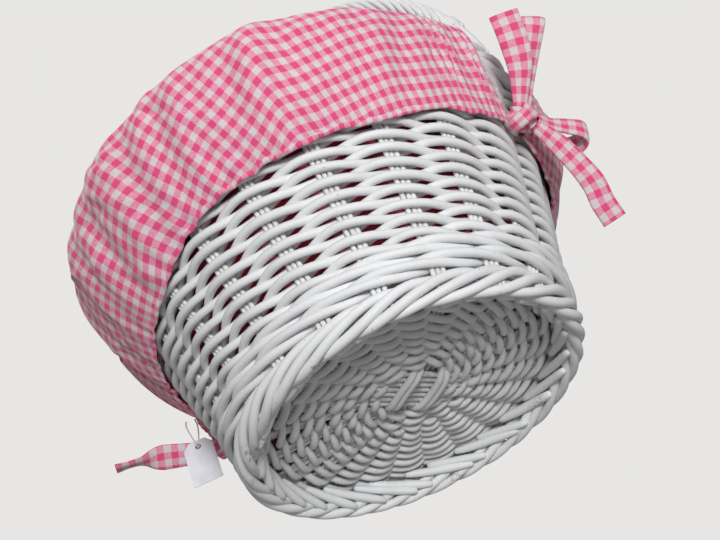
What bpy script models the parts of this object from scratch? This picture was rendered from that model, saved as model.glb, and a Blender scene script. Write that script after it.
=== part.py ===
"""White willow picnic basket with a fixed hoop handle and a tied gingham liner.

The basket stands on its foot border at z = 0, opening up. The hoop handle
stands in the XZ plane and its two roots go down through the rim at +X and -X,
where the two halves of the liner's skirt are tied together.
"""
import math

import bmesh
import bpy
from mathutils import Vector

# ---- driving dimensions, in metres -------------------------------------
GAP = 0.0003                # clearance between pieces that touch

FOOT_Z, FOOT_A, FOOT_B = 0.0045, 0.110, 0.106     # centre line of the foot border
LOW_Z, LOW_A, LOW_B = 0.044, 0.1185, 0.110        # first open row of the side
RIM_Z, RIM_A, RIM_B = 0.181, 0.160, 0.160         # centre line of the rim border

STAKES = 20                 # groups of three thin rods round the side
STAKE_START = math.radians(-5.6)
ROD = 0.0028                # thickness of one thin rod
HALF_WALL = 0.0064          # stake in the middle, one weaver on each side

WALE_BOTTOM, WALE_TOP = 0.0093, 0.0397
SIDE_BOTTOM = 0.0400
BANDS = 5                   # bands of pairing, nearly three rows each
BAND_ROUND = 0.0012
RIM_WALE_BOTTOM, RIM_WALE_TOP = 0.1663, 0.1736

FOOT_ROLL, RIM_ROLL = 0.0045, 0.0070              # radii of the two borders

BASE_BOTTOM, BASE_TOP = 0.020, 0.028
STICK_WIDTH, STICK_HEIGHT = 0.0070, 0.0036
BINDING_RADIUS, BINDING_LENGTH, BINDING_SPACING = 0.0017, 0.036, 0.022

HANDLE_RISE = 0.188         # from the rim's centre line to the top of the core
CORE_RADIUS, LAPPING_RADIUS = 0.004, 0.007
ROOT_RADIUS, BAND_RADIUS = 0.0065, 0.00775
ROOT_DEPTH_Z = 0.142        # the core's ends stand this high inside the side
ROOT_ROD_TURN, BAND_TURN = 0.235, 0.275           # radians up the arch
SLEEVE_SLACK = 0.004        # radians between the pieces round the core

CLOTH = 0.0012
LINER_IN, LINER_OUT = -0.0086, -0.0074
LINER_BOTTOM, LINER_TOP = 0.0298, 0.1860
SKIRT_OPENING = 0.028       # between the skirt's two halves, at the handle

TIE_WIDTH, TIE_THICKNESS = 0.018, 0.0016
LOOP_GAPE, LOOP_STEPS = 0.018, 16                 # a bow loop's opening, and its facets
RIGHT_KNOT, RIGHT_KNOT_SIZE = Vector((0.158, -0.003, 0.120)), (0.016, 0.020, 0.018)
LEFT_KNOT, LEFT_KNOT_SIZE = Vector((-0.152, 0.002, 0.090)), (0.018, 0.024, 0.020)

TAG_WIDTH, TAG_HEIGHT, TAG_THICKNESS = 0.022, 0.035, 0.0005
TAG_CORNER, TAG_HOLE = 0.005, 0.0022              # clipped corner, and the hole's radius
TAG_PIVOT = Vector((-0.1610, -0.0185, 0.1120))    # where the thread meets the skirt's hem
TAG_LEAN = math.radians(30)     # the card's face is turned this far from the XZ plane
TAG_DROP = 0.024                # from the pivot to the middle of the tag's hole
THREAD = 0.0010                 # thickness of the thread
THREAD_POINTS = 25

SEGMENTS = 40

# ---- materials: colour, roughness, metallic ----------------------------
MATERIALS = {
    "white_willow": ((0.70, 0.70, 0.71), 0.45, 0.0),
    "gingham_cotton": ((0.84, 0.30, 0.46), 0.90, 0.0),
    "tag_paper": ((0.82, 0.82, 0.88), 0.70, 0.0),
    "white_thread": ((0.80, 0.80, 0.80), 0.80, 0.0),
}


def clear_scene():
    for obj in list(bpy.data.objects):
        bpy.data.objects.remove(obj, do_unlink=True)


def new_collection(name):
    collection = bpy.data.collections.new(name)
    bpy.context.scene.collection.children.link(collection)
    return collection


def make_material(name, node_name):
    colour, roughness, metallic = MATERIALS[name]
    material = bpy.data.materials.new(f"{name}_{node_name}")
    material.use_nodes = True
    shader = material.node_tree.nodes["Principled BSDF"]
    shader.inputs["Base Color"].default_value = (*colour, 1.0)
    shader.inputs["Roughness"].default_value = roughness
    shader.inputs["Metallic"].default_value = metallic
    return material


def add_object(name, bm, collection, material=None):
    """Turn a bmesh into an object with outward faces and smooth shading."""
    bmesh.ops.recalc_face_normals(bm, faces=bm.faces)
    mesh = bpy.data.meshes.new(name)
    bm.to_mesh(mesh)
    bm.free()
    mesh.shade_smooth()
    mesh.set_sharp_from_angle(angle=math.radians(35))
    obj = bpy.data.objects.new(name, mesh)
    collection.objects.link(obj)
    if material:
        obj.data.materials.append(make_material(material, name))
    else:
        obj.hide_render = True
        obj.display_type = "WIRE"
    return obj


def loft(sections, closed):
    """Skin loops of equally many points; an open loft gets two end faces."""
    bm = bmesh.new()
    loops = [[bm.verts.new(point) for point in section] for section in sections]
    pairs = list(zip(loops, loops[1:]))
    if closed:
        pairs.append((loops[-1], loops[0]))
    count = len(loops[0])
    for lower, upper in pairs:
        for i in range(count):
            j = (i + 1) % count
            bm.faces.new((lower[i], lower[j], upper[j], upper[i]))
    if not closed:
        bm.faces.new(loops[0])
        bm.faces.new(loops[-1])
    return bm


# ---- the wall: an ellipse that widens from foot to rim ------------------
def wall_axes(z):
    """Semi-axes of the stakes' ellipse at height z: two straight tapers."""
    if z < LOW_Z:
        t = (z - FOOT_Z) / (LOW_Z - FOOT_Z)
        return FOOT_A + t * (LOW_A - FOOT_A), FOOT_B + t * (LOW_B - FOOT_B)
    t = (z - LOW_Z) / (RIM_Z - LOW_Z)
    return LOW_A + t * (RIM_A - LOW_A), LOW_B + t * (RIM_B - LOW_B)


def wall_frame(angle, z):
    """Point on the stake line, with its outward and its tangent direction."""
    a, b = wall_axes(z)
    point = Vector((a * math.cos(angle), b * math.sin(angle), z))
    outward = Vector((math.cos(angle) / a, math.sin(angle) / b, 0.0)).normalized()
    return point, outward, Vector((-outward.y, outward.x, 0.0))


def wall_point(angle, z, offset):
    point, outward, _ = wall_frame(angle, z)
    return point + outward * offset


def ring(profile, start=None, end=None, count=SEGMENTS):
    """Sweep (offset, z) points along the wall, all round or from start to end."""
    if start is None:
        first = STAKE_START + math.pi / SEGMENTS
        angles = [first + 2 * math.pi * i / count for i in range(count)]
    else:
        angles = [start + (end - start) * i / count for i in range(count + 1)]
    sections = [[wall_point(angle, z, offset) for offset, z in profile] for angle in angles]
    return loft(sections, closed=start is None)


def oval_slab(bottom, top, inset):
    """Flat oval plate inside the wall, inset from the stake line."""
    first = STAKE_START + math.pi / SEGMENTS
    angles = [first + 2 * math.pi * i / SEGMENTS for i in range(SEGMENTS)]
    return loft([[wall_point(angle, z, -inset) for angle in angles] for z in (bottom, top)],
                closed=False)


def circle_profile(centre_z, radius, count=8):
    """Eight-sided section of a rolled border, with a flat side underneath."""
    turns = [2 * math.pi * (i + 0.5) / count for i in range(count)]
    return [(radius * math.cos(t), centre_z + radius * math.sin(t)) for t in turns]


def cut(obj, cutter):
    modifier = obj.modifiers.new("cut_" + cutter.name, "BOOLEAN")
    modifier.operation = "DIFFERENCE"
    modifier.solver = "EXACT"
    modifier.object = cutter


# ---- stakes --------------------------------------------------------------
def stake_bar(angle, levels, grow):
    """Three thin rods side by side, following the wall through the levels."""
    half_width, half_depth = 1.5 * ROD + grow, ROD / 2 + grow
    if grow:
        outline = [(-half_width, -half_depth), (-half_width, half_depth),
                   (half_width, half_depth), (half_width, -half_depth)]
    else:
        edge = 0.15 * ROD
        crest = [(i * ROD, half_depth) for i in (-1, 0, 1)]
        outline = [(-half_width, edge)] + crest + [(half_width, edge), (half_width, -edge)]
        outline += [(u, -v) for u, v in reversed(crest)] + [(-half_width, -edge)]
    sections = []
    for z in levels:
        point, outward, tangent = wall_frame(angle, z)
        sections.append([point + tangent * u + outward * v for u, v in outline])
    return loft(sections, closed=False)


def join_bmeshes(parts):
    joined = bmesh.new()
    for part in parts:
        mesh = bpy.data.meshes.new("joining")
        part.to_mesh(mesh)
        part.free()
        joined.from_mesh(mesh)
        bpy.data.meshes.remove(mesh)
    return joined


def stake_angle(index):
    return STAKE_START + 2 * math.pi * index / STAKES


def make_stakes(parts, cutters):
    for index in range(STAKES):
        levels = (WALE_BOTTOM + 0.003, LOW_Z, RIM_WALE_TOP)
        bm = stake_bar(stake_angle(index), levels, 0.0)
        add_object(f"stakes_{index + 1:02d}", bm, parts, "white_willow")
    levels = (0.0, LOW_Z, RIM_Z)
    channels = [stake_bar(stake_angle(i), levels, GAP) for i in range(STAKES)]
    return add_object("stake_channels", join_bmeshes(channels), cutters)


# ---- base ------------------------------------------------------------------
def star(width, reach, bottom, top):
    """Base sticks that cross in the middle and run out to the foot waling."""
    outline = []
    for index in range(STAKES):
        angle = stake_angle(index)
        point, _, _ = wall_frame(angle, (bottom + top) / 2)
        along = Vector((point.x, point.y, 0.0)).normalized()
        across = Vector((-along.y, along.x, 0.0))
        end = along * (Vector((point.x, point.y)).length - reach)
        outline += [end - across * width / 2, end + across * width / 2]
        half = math.pi / STAKES
        notch = Vector((math.cos(angle + half), math.sin(angle + half), 0.0))
        outline.append(notch * width / 2 / math.sin(half))
    return loft([[Vector((p.x, p.y, z)) for p in outline] for z in (bottom, top)], closed=False)


def make_base(parts, cutters):
    reach = HALF_WALL + 0.0016
    sticks_top = BASE_BOTTOM + STICK_HEIGHT
    add_object("base_sticks", star(STICK_WIDTH, reach, BASE_BOTTOM, sticks_top),
               parts, "white_willow")
    slot = add_object(
        "base_slot",
        star(STICK_WIDTH + 2 * GAP, reach - 0.004, BASE_BOTTOM - 0.005, sticks_top + GAP),
        cutters)
    weave = add_object("base_weaving", oval_slab(BASE_BOTTOM, BASE_TOP, HALF_WALL + GAP),
                       parts, "white_willow")
    cut(weave, slot)
    for side, name in ((-1, "slath_binding_back"), (1, "slath_binding_front")):
        bm = bmesh.new()
        bmesh.ops.create_cone(bm, cap_ends=True, segments=12, radius1=BINDING_RADIUS,
                              radius2=BINDING_RADIUS, depth=BINDING_LENGTH)
        binding = add_object(name, bm, parts, "white_willow")
        height = BASE_BOTTOM - GAP - BINDING_RADIUS
        binding.location = (0.0, side * BINDING_SPACING / 2, height)
        binding.rotation_euler = (0.0, math.radians(90), 0.0)


# ---- woven side ------------------------------------------------------------
def woven_profile(bottom, top):
    """Wall section of one band of rows, rounded towards the outside."""
    edge = HALF_WALL - BAND_ROUND
    return [(edge, bottom), (HALF_WALL, bottom + BAND_ROUND), (HALF_WALL, top - BAND_ROUND),
            (edge, top), (-HALF_WALL, top), (-HALF_WALL, bottom)]


def make_side(parts, channels, root_hole):
    wale = add_object("foot_waling", ring(woven_profile(WALE_BOTTOM, WALE_TOP)),
                      parts, "white_willow")
    cut(wale, channels)
    height = (RIM_WALE_BOTTOM - SIDE_BOTTOM) / BANDS
    for index in range(BANDS):
        bottom = SIDE_BOTTOM + index * height
        bm = ring(woven_profile(bottom, bottom + height - GAP))
        band = add_object(f"side_weaving_{index + 1}", bm, parts, "white_willow")
        cut(band, channels)
        if index == BANDS - 1:
            cut(band, root_hole)
    rim_wale = add_object("rim_waling",
                          ring(woven_profile(RIM_WALE_BOTTOM, RIM_WALE_TOP)),
                          parts, "white_willow")
    cut(rim_wale, channels)
    cut(rim_wale, root_hole)


def make_borders(parts, root_hole):
    foot = circle_profile(FOOT_Z, FOOT_ROLL)
    lowest = min(z for _, z in foot)
    foot = [(r, z - lowest) for r, z in foot]
    add_object("foot_border", ring(foot), parts, "white_willow")
    rim = add_object("rim_border", ring(circle_profile(RIM_Z, RIM_ROLL)),
                     parts, "white_willow")
    cut(rim, root_hole)


# ---- handle ------------------------------------------------------------------
def arch_point(turn):
    """Hoop in the XZ plane: turn 0 is the +X root at the rim, pi the -X root."""
    return Vector((RIM_A * math.cos(turn), 0.0, RIM_Z + HANDLE_RISE * math.sin(turn)))


def spread(first, last, count):
    return [first + (last - first) * i / count for i in range(count + 1)]


def root_points(side):
    """From inside the side weaving up to the rim, leaning as the wall leans."""
    bottom, _ = wall_axes(ROOT_DEPTH_Z)
    return [Vector((side * bottom, 0.0, ROOT_DEPTH_Z)), Vector((side * RIM_A, 0.0, RIM_Z))]


def path_circle(path, index, radius, turn):
    """Point on a circle round a path that lies in the XZ plane."""
    before, after = path[max(index - 1, 0)], path[min(index + 1, len(path) - 1)]
    along = (after - before).normalized()
    normal = Vector((-along.z, 0.0, along.x))
    offset = normal * math.cos(turn) + Vector((0.0, 1.0, 0.0)) * math.sin(turn)
    return path[index] + offset * radius


def rod(path, radius, sides=8):
    sections = []
    for index in range(len(path)):
        turns = [2 * math.pi * i / sides for i in range(sides)]
        sections.append([path_circle(path, index, radius, turn) for turn in turns])
    return loft(sections, closed=False)


def sleeve(path, outer, inner, sides=8):
    """Tube with open ends round a path in the XZ plane."""
    sections = []
    for i in range(sides):
        turn = 2 * math.pi * i / sides
        out = [path_circle(path, k, outer, turn) for k in range(len(path))]
        back = [path_circle(path, k, inner, turn) for k in reversed(range(len(path)))]
        sections.append(out + back)
    return loft(sections, closed=True)


def make_handle(parts):
    """A core rod, and round it on each side root rods, a wrapped band and the lapping."""
    first = math.asin((RIM_ROLL + 0.0010) / HANDLE_RISE)
    turns = {
        "root_rods": spread(first, ROOT_ROD_TURN, 4),
        "band": spread(ROOT_ROD_TURN + SLEEVE_SLACK, BAND_TURN, 1),
        "lapping": spread(BAND_TURN + SLEEVE_SLACK, math.pi - BAND_TURN - SLEEVE_SLACK, 20),
    }
    inner = CORE_RADIUS + GAP
    radii = {"root_rods": ROOT_RADIUS, "band": BAND_RADIUS}
    for piece, radius in radii.items():
        right = [arch_point(turn) for turn in turns[piece]]
        left = [arch_point(math.pi - turn) for turn in turns[piece]]
        add_object(f"handle_{piece}_right", sleeve(right, radius, inner), parts, "white_willow")
        add_object(f"handle_{piece}_left", sleeve(left, radius, inner), parts, "white_willow")
    path = [arch_point(turn) for turn in turns["lapping"]]
    add_object("handle_lapping", sleeve(path, LAPPING_RADIUS, inner), parts, "white_willow")
    rising = turns["root_rods"] + turns["band"]
    falling = [math.pi - turn for turn in reversed(rising)]
    hoop = [arch_point(turn) for turn in rising + turns["lapping"] + falling]
    core = root_points(1) + hoop + root_points(-1)[::-1]
    add_object("handle_core", rod(core, CORE_RADIUS), parts, "white_willow")


def make_root_hole(cutters):
    holes = []
    for side in (1, -1):
        low, high = root_points(side)
        lean = high - low
        path = [low - lean * 0.03, high, high + Vector((0.0, 0.0, 0.012))]
        holes.append(rod(path, CORE_RADIUS + GAP))
    return add_object("root_holes", join_bmeshes(holes), cutters)


# ---- liner -----------------------------------------------------------------
def skirt_profile():
    """The skirt turns over the rim border, bulges, and gathers in at its hem."""
    inner = [(LINER_OUT, LINER_TOP + GAP), (-0.0050, 0.1893), (0.0005, 0.1906),
             (0.0080, 0.1895), (0.0150, 0.1855), (0.0205, 0.1770), (0.0225, 0.1650),
             (0.0205, 0.1450), (0.0150, 0.1240), (0.0115, 0.1130)]
    outer = [(LINER_IN, LINER_TOP + GAP), (-0.0060, 0.1905), (0.0003, 0.1920),
             (0.0085, 0.1909), (0.0162, 0.1866), (0.0220, 0.1775), (0.0240, 0.1650),
             (0.0220, 0.1446), (0.0165, 0.1234), (0.0130, 0.1120)]
    return inner + outer[::-1]


def make_liner(parts):
    add_object("liner_floor", oval_slab(BASE_TOP + GAP, BASE_TOP + GAP + CLOTH,
                                        HALF_WALL + 0.0025), parts, "gingham_cotton")
    side = [(LINER_OUT, LINER_BOTTOM), (LINER_OUT, LOW_Z), (LINER_OUT, LINER_TOP),
            (LINER_IN, LINER_TOP), (LINER_IN, LOW_Z), (LINER_IN, LINER_BOTTOM)]
    add_object("liner_side", ring(side), parts, "gingham_cotton")
    clear = math.asin(SKIRT_OPENING / 2 / RIM_A)
    halves = {"skirt_front": (math.pi + clear, 2 * math.pi - clear),
              "skirt_back": (clear, math.pi - clear)}
    for name, (start, end) in halves.items():
        add_object(name, ring(skirt_profile(), start, end, 20), parts, "gingham_cotton")


# ---- ties ------------------------------------------------------------------
def strap(points, widths, thickness, up):
    """Flat strip through points; up is the direction its width leans towards."""
    sections = []
    for i, point in enumerate(points):
        before, after = points[max(i - 1, 0)], points[min(i + 1, len(points) - 1)]
        along = (after - before).normalized()
        face = along.cross(up).normalized()
        across = face.cross(along).normalized()
        half = across * widths[i] / 2
        lift = face * thickness / 2
        sections.append([point - half - lift, point + half - lift,
                         point + half + lift, point - half + lift])
    return loft(sections, closed=False)


def knot(centre, size):
    bm = bmesh.new()
    bmesh.ops.create_uvsphere(bm, u_segments=12, v_segments=8, radius=0.5)
    for vertex in bm.verts:
        vertex.co = Vector((vertex.co.x * size[0], vertex.co.y * size[1],
                            vertex.co.z * size[2])) + centre
    return bm


def tie_loop(base, tip, side):
    """Closed teardrop of ribbon: out along one leg, round the tip and back."""
    reach, across = tip - base, side.normalized()
    face = reach.cross(across).normalized()
    outline = []
    for i in range(LOOP_STEPS + 1):
        turn = math.pi * i / LOOP_STEPS
        gape = LOOP_GAPE / 2 * math.sin(2 * turn) * (0.35 + 0.65 * math.sin(turn))
        outline.append(base + reach * math.sin(turn) ** 0.8 - face * gape)
    outline[0] -= face * TIE_THICKNESS * 0.75
    outline[-1] += face * TIE_THICKNESS * 0.75
    sections = []
    for i, point in enumerate(outline):
        before, after = outline[max(i - 1, 0)], outline[min(i + 1, LOOP_STEPS)]
        normal = (after - before).cross(across).normalized()
        full = 0.45 + 0.55 * math.sin(math.pi * i / LOOP_STEPS)
        half = across * full * TIE_WIDTH / 2
        lift = normal * TIE_THICKNESS / 2
        sections.append([point - half - lift, point + half - lift,
                         point + half + lift, point - half + lift])
    return loft(sections, closed=False)


def add_straps(parts, centre, straps):
    """Ribbons from a knot: each has a route from its centre, widths and a lean."""
    for name, (route, widths, lean) in straps.items():
        bm = strap([centre + Vector(p) for p in route], [w * TIE_WIDTH for w in widths],
                   TIE_THICKNESS, Vector(lean))
        add_object(name, bm, parts, "gingham_cotton")


def make_ties(parts):
    add_object("bow_knot_right", knot(RIGHT_KNOT, RIGHT_KNOT_SIZE), parts, "gingham_cotton")
    add_straps(parts, RIGHT_KNOT, {
        "bow_tail_up_right": (
            [(0.0085, -0.0080, 0.0085), (0.0210, -0.0140, 0.0210), (0.0290, -0.0210, 0.0350),
             (0.0350, -0.0285, 0.0510)], (0.35, 0.80, 1.05, 1.05), (0.69, 0.64, -0.35)),
        "bow_tail_down_right": (
            [(0.004, 0.0125, -0.008), (0.006, 0.026, -0.022), (0.006, 0.040, -0.042),
             (0.002, 0.049, -0.055), (0.000, 0.057, -0.066)],
            (0.4, 0.75, 0.85, 0.85, 0.85), (0.92, 0.37, 0.09)),
    })
    loops = {
        "bow_loop_up_right": ((0.0075, 0.0040, 0.0105), (0.0434, -0.0085, 0.0500),
                              (0.69, 0.64, -0.35)),
        "bow_loop_side_right": ((0.0110, 0.0110, 0.0010), (0.0150, 0.0440, -0.0105),
                                (-0.30, -0.18, -0.94)),
    }
    for name, (base, tip, side) in loops.items():
        bm = tie_loop(RIGHT_KNOT + Vector(base), RIGHT_KNOT + Vector(tip), Vector(side))
        add_object(name, bm, parts, "gingham_cotton")

    add_object("tie_knot_left", knot(LEFT_KNOT, LEFT_KNOT_SIZE), parts, "gingham_cotton")
    add_straps(parts, LEFT_KNOT, {
        "tie_front_left": (
            [(-0.005, -0.0080, 0.0325), (-0.006, -0.0080, 0.023), (-0.004, -0.006, 0.0115)],
            (0.5, 0.5, 0.45), (0.0, 1.0, 0.0)),
        "tie_back_left": (
            [(-0.005, 0.0060, 0.0325), (-0.006, 0.0065, 0.023), (-0.004, 0.0060, 0.0115)],
            (0.4, 0.4, 0.35), (0.0, 1.0, 0.0)),
        "tie_tail_front_left": (
            [(-0.0115, -0.006, -0.001), (-0.021, -0.019, 0.000), (-0.032, -0.033, 0.002),
             (-0.044, -0.045, 0.004), (-0.056, -0.0565, 0.004)],
            (0.6, 1.0, 1.0, 0.9, 0.7), (0.0, 0.3, 1.0)),
        "tie_tail_back_left": (
            [(0.000, 0.0135, -0.006), (0.001, 0.020, -0.018), (0.001, 0.025, -0.032),
             (0.002, 0.029, -0.044)], (0.5, 0.8, 0.85, 0.85), (0.0, 1.0, 0.4)),
    })


# ---- price tag -------------------------------------------------------------
def tag_axes():
    return Vector((math.cos(TAG_LEAN), math.sin(TAG_LEAN), 0.0)), Vector((0.0, 0.0, 1.0))


def make_tag(parts, cutters):
    across, up = tag_axes()
    face = across.cross(up)
    hole = TAG_PIVOT - up * TAG_DROP
    half, top = TAG_WIDTH / 2, TAG_CORNER
    outline = [(-half, 0.0), (-half + TAG_CORNER, top), (half - TAG_CORNER, top),
               (half, 0.0), (half, top - TAG_HEIGHT), (-half, top - TAG_HEIGHT)]
    sections = []
    for side in (-0.5, 0.5):
        lift = face * TAG_THICKNESS * side
        sections.append([hole + across * u + up * v + lift for u, v in outline])
    card = add_object("tag_card", loft(sections, closed=False), parts, "tag_paper")
    bm = bmesh.new()
    bmesh.ops.create_cone(bm, cap_ends=True, segments=16, radius1=TAG_HOLE,
                          radius2=TAG_HOLE, depth=TAG_CORNER)
    punch = add_object("tag_punch", bm, cutters)
    punch.location = hole
    punch.rotation_euler = face.to_track_quat("Z", "Y").to_euler()
    cut(card, punch)
    thread_curve(parts, hole, across, up, face)


# The thread's route: across, up and face distances from the tag's hole.
THREAD_ROUTE = [
    (0.0030, 0.0232, -0.0008), (0.0036, 0.0200, -0.0014), (0.0034, 0.0160, -0.0018),
    (0.0026, 0.0115, -0.0019), (0.0016, 0.0070, -0.0019), (0.0008, 0.0030, -0.0019),
    (0.0002, 0.0002, -0.0014), (-0.0001, -0.0008, 0.0000), (-0.0003, 0.0000, 0.0014),
    (-0.0009, 0.0030, 0.0019), (-0.0018, 0.0070, 0.0019), (-0.0028, 0.0115, 0.0018),
    (-0.0036, 0.0160, 0.0016), (-0.0038, 0.0200, 0.0012), (-0.0032, 0.0232, 0.0006),
]


def smooth_route(points, count):
    """Evenly spread points on a smooth curve through the route."""
    dense = []
    last = len(points) - 1
    for i in range(last):
        p0, p1 = points[max(i - 1, 0)], points[i]
        p2, p3 = points[i + 1], points[min(i + 2, last)]
        for k in range(20):
            t = k / 20
            dense.append(0.5 * ((2 * p1) + (p2 - p0) * t + (2 * p0 - 5 * p1 + 4 * p2 - p3) * t * t
                                + (3 * p1 - p0 - 3 * p2 + p3) * t ** 3))
    dense.append(points[-1])
    lengths = [0.0]
    for before, after in zip(dense, dense[1:]):
        lengths.append(lengths[-1] + (after - before).length)
    result, k = [], 0
    for i in range(count):
        target = lengths[-1] * i / (count - 1)
        while k < len(lengths) - 2 and lengths[k + 1] < target:
            k += 1
        t = (target - lengths[k]) / (lengths[k + 1] - lengths[k])
        result.append(dense[k].lerp(dense[k + 1], min(max(t, 0.0), 1.0)))
    return result


def thread_curve(parts, hole, across, up, face):
    points = [hole + across * u + up * v + face * w for u, v, w in THREAD_ROUTE]
    points = smooth_route(points, THREAD_POINTS)
    curve = bpy.data.curves.new("tag_thread", "CURVE")
    curve.dimensions = "3D"
    curve.bevel_depth = THREAD / 2
    curve.bevel_resolution = 2
    curve.use_fill_caps = True
    spline = curve.splines.new("POLY")
    spline.points.add(len(points) - 1)
    for target, point in zip(spline.points, points):
        target.co = (*point, 1.0)
    curve.materials.append(make_material("white_thread", "tag_thread"))
    thread = bpy.data.objects.new("tag_thread", curve)
    parts.objects.link(thread)


def main():
    clear_scene()
    parts = new_collection("wicker_picnic_basket")
    cutters = new_collection("cutters")
    channels = make_stakes(parts, cutters)
    root_hole = make_root_hole(cutters)
    make_base(parts, cutters)
    make_side(parts, channels, root_hole)
    make_borders(parts, root_hole)
    make_handle(parts)
    make_liner(parts)
    make_ties(parts)
    make_tag(parts, cutters)


main()
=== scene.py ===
"""Looks for a white willow picnic basket with a tied gingham liner.

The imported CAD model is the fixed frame. The weave is built strand by strand on
the frame's own wall, and the liner, skirt, ties and tag are built round it.
All sizes are in metres, with z = 0 under the foot border and the handle's hoop
in the XZ plane.
"""

import math

import bmesh
import bpy
import numpy as np
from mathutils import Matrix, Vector

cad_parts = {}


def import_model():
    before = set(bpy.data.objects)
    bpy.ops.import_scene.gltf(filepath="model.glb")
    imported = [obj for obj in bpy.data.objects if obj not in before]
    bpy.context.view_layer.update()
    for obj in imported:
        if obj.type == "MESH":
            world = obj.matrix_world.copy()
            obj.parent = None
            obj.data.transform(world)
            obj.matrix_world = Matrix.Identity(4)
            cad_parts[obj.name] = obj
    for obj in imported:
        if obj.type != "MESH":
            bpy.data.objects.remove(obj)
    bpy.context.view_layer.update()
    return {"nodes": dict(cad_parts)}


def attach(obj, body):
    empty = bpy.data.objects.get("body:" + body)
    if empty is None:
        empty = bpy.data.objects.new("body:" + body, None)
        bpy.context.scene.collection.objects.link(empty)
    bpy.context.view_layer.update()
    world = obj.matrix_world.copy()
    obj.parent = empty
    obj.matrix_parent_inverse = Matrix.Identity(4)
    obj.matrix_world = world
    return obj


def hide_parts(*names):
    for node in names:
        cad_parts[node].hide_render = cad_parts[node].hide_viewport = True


# ---- driving dimensions, as in the CAD ----
FOOT_Z, FOOT_A, FOOT_B = 0.0045, 0.110, 0.106
LOW_Z, LOW_A, LOW_B = 0.044, 0.1185, 0.110
RIM_Z, RIM_A, RIM_B = 0.181, 0.160, 0.160
STAKES = 20
STAKE_START = math.radians(-5.6)
ROD_RADIUS = 0.00160            # one of the three thin rods of a stake
ROD_SPACING = 1.96 * ROD_RADIUS

ROW_PITCH = 0.0090              # from one row of pairing to the next
SIDE_ROWS = 14
WEAVER = 0.00274                # radius of a weaver
WEAVE_REACH = 0.0042            # how far a weaver swings out and in
WEAVE_RISE = 0.0022             # and up and down

WALE_ROWS = 2
WALE_FIRST_Z, WALE_PITCH = 0.0256, 0.0095
WALE_WEAVER = 0.00280
RIM_WALE_Z = RIM_Z - 0.0110

HANDLE_RISE = 0.188
HANDLE_GAP = 0.0087             # from the handle's middle to a skirt's end
ROOT_ROD_TURN, BAND_TURN = 0.235, 0.275             # where each ends along the hoop

CHECK = 0.010                   # one white and one pink stripe of the gingham
CLOTH = 0.0007

CAMERA_PLACE = (0.2462, -0.4875, -0.3037)
CAMERA_TURN = (131.144, 20.24, 42.93)


# ---- small helpers ----
def unit(vectors):
    lengths = np.linalg.norm(vectors, axis=-1, keepdims=True)
    return vectors / np.maximum(lengths, 1e-12)


def wall_axes(z):
    """Semi-axes of the stakes' ellipse at height z: two straight tapers."""
    z = np.asarray(z, float)
    low = (z - FOOT_Z) / (LOW_Z - FOOT_Z)
    high = (z - LOW_Z) / (RIM_Z - LOW_Z)
    a = np.where(z < LOW_Z, FOOT_A + low * (LOW_A - FOOT_A), LOW_A + high * (RIM_A - LOW_A))
    b = np.where(z < LOW_Z, FOOT_B + low * (LOW_B - FOOT_B), LOW_B + high * (RIM_B - LOW_B))
    return a, b


def wall_outward(angle, z):
    a, b = wall_axes(z)
    flat = np.stack([np.cos(angle) / a, np.sin(angle) / b, np.zeros_like(a * angle)], axis=-1)
    return unit(flat)


def wall_points(angle, z, offset):
    """Points at that height and that distance outside the stakes' line."""
    a, b = wall_axes(z)
    line = np.stack([a * np.cos(angle), b * np.sin(angle), z + np.zeros_like(angle)], axis=-1)
    return line + wall_outward(angle, z) * np.asarray(offset)[..., None]


def ripple(rng, turns, size, waves=(2, 3, 5, 8, 13)):
    """Smooth closed noise over turns, which runs from 0 to 1 once round."""
    total = np.zeros_like(turns)
    for wave in waves:
        total += rng.uniform(0.5, 1.0) * np.sin(2 * np.pi * (wave * turns + rng.random()))
    return total * size / len(waves)


def through(points, count):
    """Evenly many points on a smooth curve through the given ones."""
    points = np.asarray(points, float)
    padded = np.vstack([2 * points[0] - points[1], points, 2 * points[-1] - points[-2]])
    place = np.linspace(0, len(points) - 1, count)
    index = np.minimum(place.astype(int), len(points) - 2)
    t = (place - index)[:, None]
    p0, p1, p2, p3 = (padded[index + k] for k in range(4))
    return 0.5 * (2 * p1 + (p2 - p0) * t + (2 * p0 - 5 * p1 + 4 * p2 - p3) * t ** 2
                  + (3 * p1 - p0 - 3 * p2 + p3) * t ** 3)


def mesh_object(name, verts, faces, uvs=None, values=None, material=None):
    """A smooth mesh; uvs is one pair for each face corner, values a dict for the points."""
    mesh = bpy.data.meshes.new(name)
    mesh.from_pydata(np.asarray(verts).tolist(), [], faces)
    if uvs is not None:
        layer = mesh.uv_layers.new(name="UVMap")
        layer.data.foreach_set("uv", np.asarray(uvs, np.float32).ravel())
    for key, data in (values or {}).items():
        attribute = mesh.attributes.new(key, "FLOAT", "POINT")
        attribute.data.foreach_set("value", np.asarray(data, np.float32))
    mesh.validate()
    mesh.shade_smooth()
    obj = bpy.data.objects.new(name, mesh)
    bpy.context.scene.collection.objects.link(obj)
    if material:
        mesh.materials.append(material)
    return obj


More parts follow.
